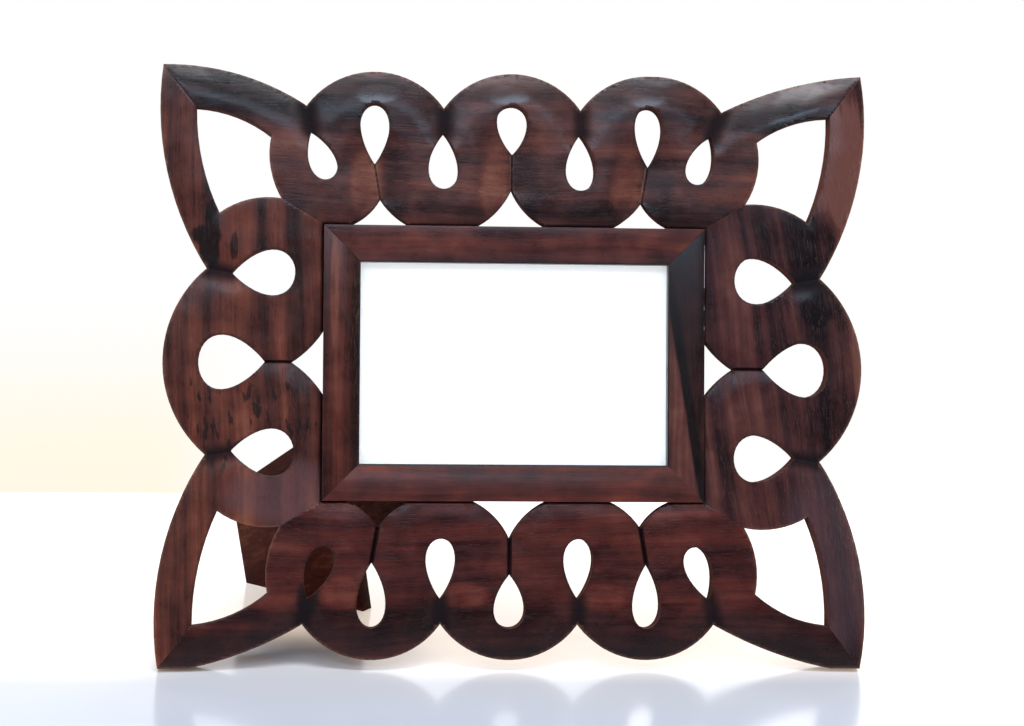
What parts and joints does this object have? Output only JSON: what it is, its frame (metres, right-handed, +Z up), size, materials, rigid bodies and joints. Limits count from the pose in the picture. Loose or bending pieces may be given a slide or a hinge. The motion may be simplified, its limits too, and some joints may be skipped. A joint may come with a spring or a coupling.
{
  "type": "fretwork picture frame",
  "caption": "Table picture frame of carved hardwood: looped fretwork boards with pointed horns round a mitred moulding, glazed, standing on a hinged diagonal leg at the back.",
  "frame": {"origin": "middle of the standing frame's bounding box, on the table: half way between its sides and between its front and the foot of its leg", "axes": "+X to the right as seen from the front, along the frame's width; +Y from the front to the back; +Z up. The frame leans back 15 degrees and its leg is open"},
  "size_m": [0.3369, 0.1412, 0.2772],
  "materials": {
    "carved_wood": "dark reddish brown rosewood, satin polish",
    "moulding_wood": "dark reddish brown rosewood, satin polish",
    "leg_wood": "reddish brown hardwood, dull, saw-cut edges",
    "glass": "clear float glass",
    "paper": "plain white matt photo paper",
    "card": "grey-brown packing card",
    "backing": "brown hardboard",
    "brass": "dull brass",
    "steel": "plain bright screws"
  },
  "bodies": {
    "frame": {"fretwork_top": "carved_wood", "fretwork_bottom": "carved_wood", "fretwork_left": "carved_wood", "fretwork_right": "carved_wood", "moulding_top": "moulding_wood", "moulding_bottom": "moulding_wood", "moulding_left": "moulding_wood", "moulding_right": "moulding_wood", "glass_pane": "glass", "picture_sheet": "paper", "packing_card": "card", "backing_board": "backing", "hinge_leaf_board": "brass", "hinge_pin": "brass", "hinge_screws_board": "steel", "turn_button_screws": "steel"},
    "leg": {"easel_leg": "leg_wood", "hinge_leaf_leg": "brass", "hinge_screws_leg": "steel"},
    "button_top": {"turn_button_top": "brass"},
    "button_bottom": {"turn_button_bottom": "brass"},
    "button_left": {"turn_button_left": "brass"},
    "button_right": {"turn_button_right": "brass"}
  },
  "joints": [
    {"name": "leg_hinge", "type": "hinge", "parent": "frame", "child": "leg", "pos_m": [-0.04875, -0.02665, 0.10442], "axis": [-0.565, 0.2136, 0.797], "range_deg": [0, 46]},
    {"name": "top_button_pivot", "type": "hinge", "parent": "frame", "child": "button_top", "pos_m": [0.032, -0.00523, 0.19457], "axis": [0, 0.9659, -0.2588], "range_deg": [-90, 90]},
    {"name": "bottom_button_pivot", "type": "hinge", "parent": "frame", "child": "button_bottom", "pos_m": [0.032, -0.03534, 0.08224], "axis": [0, 0.9659, -0.2588], "range_deg": [-90, 90]},
    {"name": "left_button_pivot", "type": "hinge", "parent": "frame", "child": "button_left", "pos_m": [-0.08355, -0.02029, 0.13841], "axis": [0, 0.9659, -0.2588], "range_deg": [-90, 90]},
    {"name": "right_button_pivot", "type": "hinge", "parent": "frame", "child": "button_right", "pos_m": [0.08355, -0.02029, 0.13841], "axis": [0, 0.9659, -0.2588], "range_deg": [-90, 90]}
  ]
}
